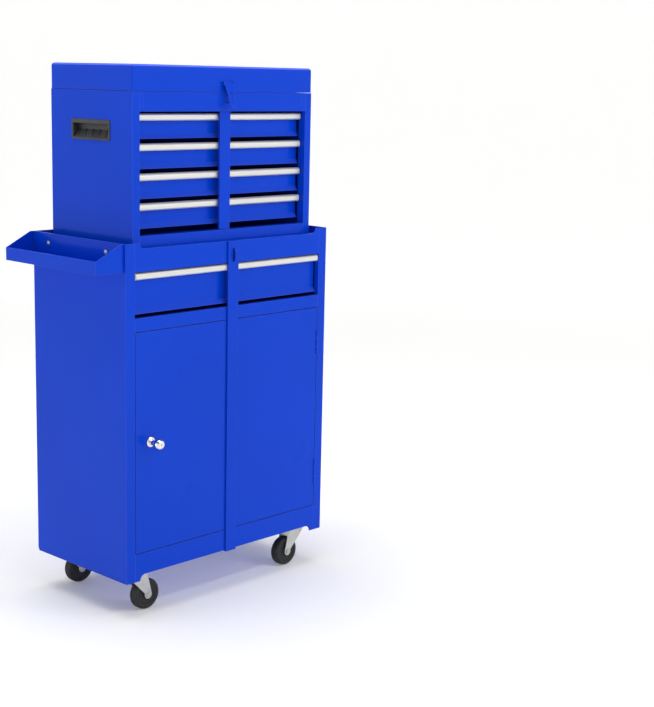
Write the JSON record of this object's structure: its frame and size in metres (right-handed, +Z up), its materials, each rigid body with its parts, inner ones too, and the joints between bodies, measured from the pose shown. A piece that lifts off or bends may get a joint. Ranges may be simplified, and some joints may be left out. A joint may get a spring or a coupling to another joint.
{
  "type": "rolling tool chest",
  "caption": "Sheet-steel cabinet on swivel casters with a drawer, door, shelf and side tray, under a lift-off chest of drawers with a hinged lid.",
  "frame": {"origin": "on the ground, under the middle of the whole chest's outline, side tray and door knob included", "axes": "+Z up, the front with its drawers and door faces -Y, the side tray is on the -X side"},
  "size_m": [0.612, 0.328, 1.08],
  "materials": {
    "blue_steel": "satin powder coat",
    "handle_aluminium": "satin",
    "zinc": "zinc plated",
    "wheel_rubber": "matt",
    "chrome": "polished",
    "black_plastic": "matt, moulded",
    "mat_rubber": "matt, ribbed",
    "black_steel": "satin black"
  },
  "bodies": {
    "cabinet": {"cabinet_side_left": "blue_steel", "cabinet_side_right": "blue_steel", "cabinet_back": "blue_steel", "cabinet_floor": "blue_steel", "front_fascia": "blue_steel", "middle_rail": "blue_steel", "bottom_rail": "blue_steel", "worktop_pan": "blue_steel", "worktop_mat": "mat_rubber", "cabinet_shelf": "blue_steel", "side_tray": "blue_steel", "cabinet_fasteners": "zinc", "lower_slide_outers": "black_steel", "door_hinge_frames": "blue_steel", "caster_plates": "zinc"},
    "lower_drawer": {"lower_drawer_box": "blue_steel", "lower_drawer_handle": "handle_aluminium", "lower_slide_inners": "black_steel"},
    "lower_slide": {"lower_slide_middles": "black_steel"},
    "door": {"door_skin": "blue_steel", "door_pegboard": "blue_steel", "door_hooks": "chrome", "door_hinge_leaves": "blue_steel"},
    "knob": {"door_knob": "chrome"},
    "lower_bar": {"lower_lock_bar": "blue_steel"},
    "top_chest": {"chest_casing": "blue_steel", "chest_floor": "blue_steel", "lid_well": "blue_steel", "chest_fascia": "blue_steel", "chest_rail": "blue_steel", "side_grips": "black_plastic", "upper_slide_outers": "black_steel", "lid_hinge_fixed": "blue_steel"},
    "upper_bar": {"upper_lock_bar": "blue_steel"},
    "lid": {"lid_shell": "blue_steel", "lid_hinge_moving": "blue_steel", "hasp_plate": "blue_steel"},
    "hasp": {"hasp_flap": "blue_steel"},
    "drawer_1": {"drawer_1_box": "blue_steel", "drawer_1_handle": "handle_aluminium", "drawer_1_slides": "black_steel"},
    "drawer_2": {"drawer_2_box": "blue_steel", "drawer_2_handle": "handle_aluminium", "drawer_2_slides": "black_steel"},
    "drawer_3": {"drawer_3_box": "blue_steel", "drawer_3_handle": "handle_aluminium", "drawer_3_slides": "black_steel"},
    "drawer_4": {"drawer_4_box": "blue_steel", "drawer_4_handle": "handle_aluminium", "drawer_4_slides": "black_steel"},
    "swivel_front_left": {"fork_front_left": "zinc"},
    "wheel_front_left": {"wheel_front_left": "wheel_rubber"},
    "brake_front_left": {"brake_front_left": "zinc"},
    "swivel_front_right": {"fork_front_right": "zinc"},
    "wheel_front_right": {"wheel_front_right": "wheel_rubber"},
    "brake_front_right": {"brake_front_right": "zinc"},
    "swivel_rear_left": {"fork_rear_left": "zinc"},
    "wheel_rear_left": {"wheel_rear_left": "wheel_rubber"},
    "swivel_rear_right": {"fork_rear_right": "zinc"},
    "wheel_rear_right": {"wheel_rear_right": "wheel_rubber"}
  },
  "joints": [
    {"name": "top_chest_lift", "type": "slide", "parent": "cabinet", "child": "top_chest", "axis": [0, 0, 1], "range_m": [0, 0.25]},
    {"name": "upper_bar_off", "type": "slide", "parent": "top_chest", "child": "upper_bar", "axis": [0, -1, 0], "range_m": [0, 0.45]},
    {"name": "drawer_1_slide", "type": "slide", "parent": "top_chest", "child": "drawer_1", "axis": [0, -1, 0], "range_m": [0, 0.15]},
    {"name": "drawer_2_slide", "type": "slide", "parent": "top_chest", "child": "drawer_2", "axis": [0, -1, 0], "range_m": [0, 0.15]},
    {"name": "drawer_3_slide", "type": "slide", "parent": "top_chest", "child": "drawer_3", "axis": [0, -1, 0], "range_m": [0, 0.15]},
    {"name": "drawer_4_slide", "type": "slide", "parent": "top_chest", "child": "drawer_4", "axis": [0, -1, 0], "range_m": [0, 0.15]},
    {"name": "lid_hinge", "type": "hinge", "parent": "top_chest", "child": "lid", "pos_m": [0.033, 0.1483, 1.0296], "axis": [-1, 0, 0], "range_deg": [0, 95]},
    {"name": "hasp_hinge", "type": "hinge", "parent": "lid", "child": "hasp", "pos_m": [0.033, -0.113, 1.046], "axis": [-1, 0, 0], "range_deg": [-16.5, 100]},
    {"name": "lower_bar_off", "type": "slide", "parent": "cabinet", "child": "lower_bar", "axis": [0, -1, 0], "range_m": [0, 0.9]},
    {"name": "lower_drawer_slide", "type": "slide", "parent": "cabinet", "child": "lower_drawer", "axis": [0, -1, 0], "range_m": [0, 0.2]},
    {"name": "lower_slide_middle", "type": "slide", "parent": "cabinet", "child": "lower_slide", "axis": [0, -1, 0], "range_m": [0, 0.1]},
    {"name": "door_hinge", "type": "hinge", "parent": "cabinet", "child": "door", "pos_m": [0.28325, -0.129, 0.355], "axis": [0, 0, 1], "range_deg": [0, 105]},
    {"name": "knob_turn", "type": "hinge", "parent": "door", "child": "knob", "pos_m": [-0.1805, -0.129, 0.356], "axis": [0, 1, 0], "range_deg": [0, 90]},
    {"name": "swivel_front_left", "type": "hinge", "parent": "cabinet", "child": "swivel_front_left", "pos_m": [-0.19, -0.091, 0.08], "axis": [0, 0, 1], "continuous": true},
    {"name": "spin_front_left", "type": "hinge", "parent": "swivel_front_left", "child": "wheel_front_left", "pos_m": [-0.165, -0.091, 0.03175], "axis": [0, 1, 0], "continuous": true},
    {"name": "press_brake_front_left", "type": "hinge", "parent": "swivel_front_left", "child": "brake_front_left", "pos_m": [-0.211, -0.091, 0.0792], "axis": [0, -1, 0], "range_deg": [0, 15]},
    {"name": "swivel_front_right", "type": "hinge", "parent": "cabinet", "child": "swivel_front_right", "pos_m": [0.256, -0.091, 0.08], "axis": [0, 0, 1], "continuous": true},
    {"name": "spin_front_right", "type": "hinge", "parent": "swivel_front_right", "child": "wheel_front_right", "pos_m": [0.231, -0.091, 0.03175], "axis": [0, 1, 0], "continuous": true},
    {"name": "press_brake_front_right", "type": "hinge", "parent": "swivel_front_right", "child": "brake_front_right", "pos_m": [0.277, -0.091, 0.0792], "axis": [0, 1, 0], "range_deg": [0, 15]},
    {"name": "swivel_rear_left", "type": "hinge", "parent": "cabinet", "child": "swivel_rear_left", "pos_m": [-0.19, 0.126, 0.08], "axis": [0, 0, 1], "continuous": true},
    {"name": "spin_rear_left", "type": "hinge", "parent": "swivel_rear_left", "child": "wheel_rear_left", "pos_m": [-0.165, 0.126, 0.03175], "axis": [0, 1, 0], "continuous": true},
    {"name": "swivel_rear_right", "type": "hinge", "parent": "cabinet", "child": "swivel_rear_right", "pos_m": [0.256, 0.126, 0.08], "axis": [0, 0, 1], "continuous": true},
    {"name": "spin_rear_right", "type": "hinge", "parent": "swivel_rear_right", "child": "wheel_rear_right", "pos_m": [0.231, 0.126, 0.03175], "axis": [0, 1, 0], "continuous": true}
  ],
  "couplings": [
    {"joint": "drawer_1_slide", "follows": "upper_bar_off", "ratio": 0.3333},
    {"joint": "drawer_2_slide", "follows": "upper_bar_off", "ratio": 0.3333},
    {"joint": "drawer_3_slide", "follows": "upper_bar_off", "ratio": 0.3333},
    {"joint": "drawer_4_slide", "follows": "upper_bar_off", "ratio": 0.3333},
    {"joint": "lower_drawer_slide", "follows": "lower_bar_off", "ratio": 0.2222},
    {"joint": "lower_slide_middle", "follows": "lower_bar_off", "ratio": 0.1111},
    {"joint": "door_hinge", "follows": "lower_bar_off", "rad_per_m": 2.036}
  ]
}
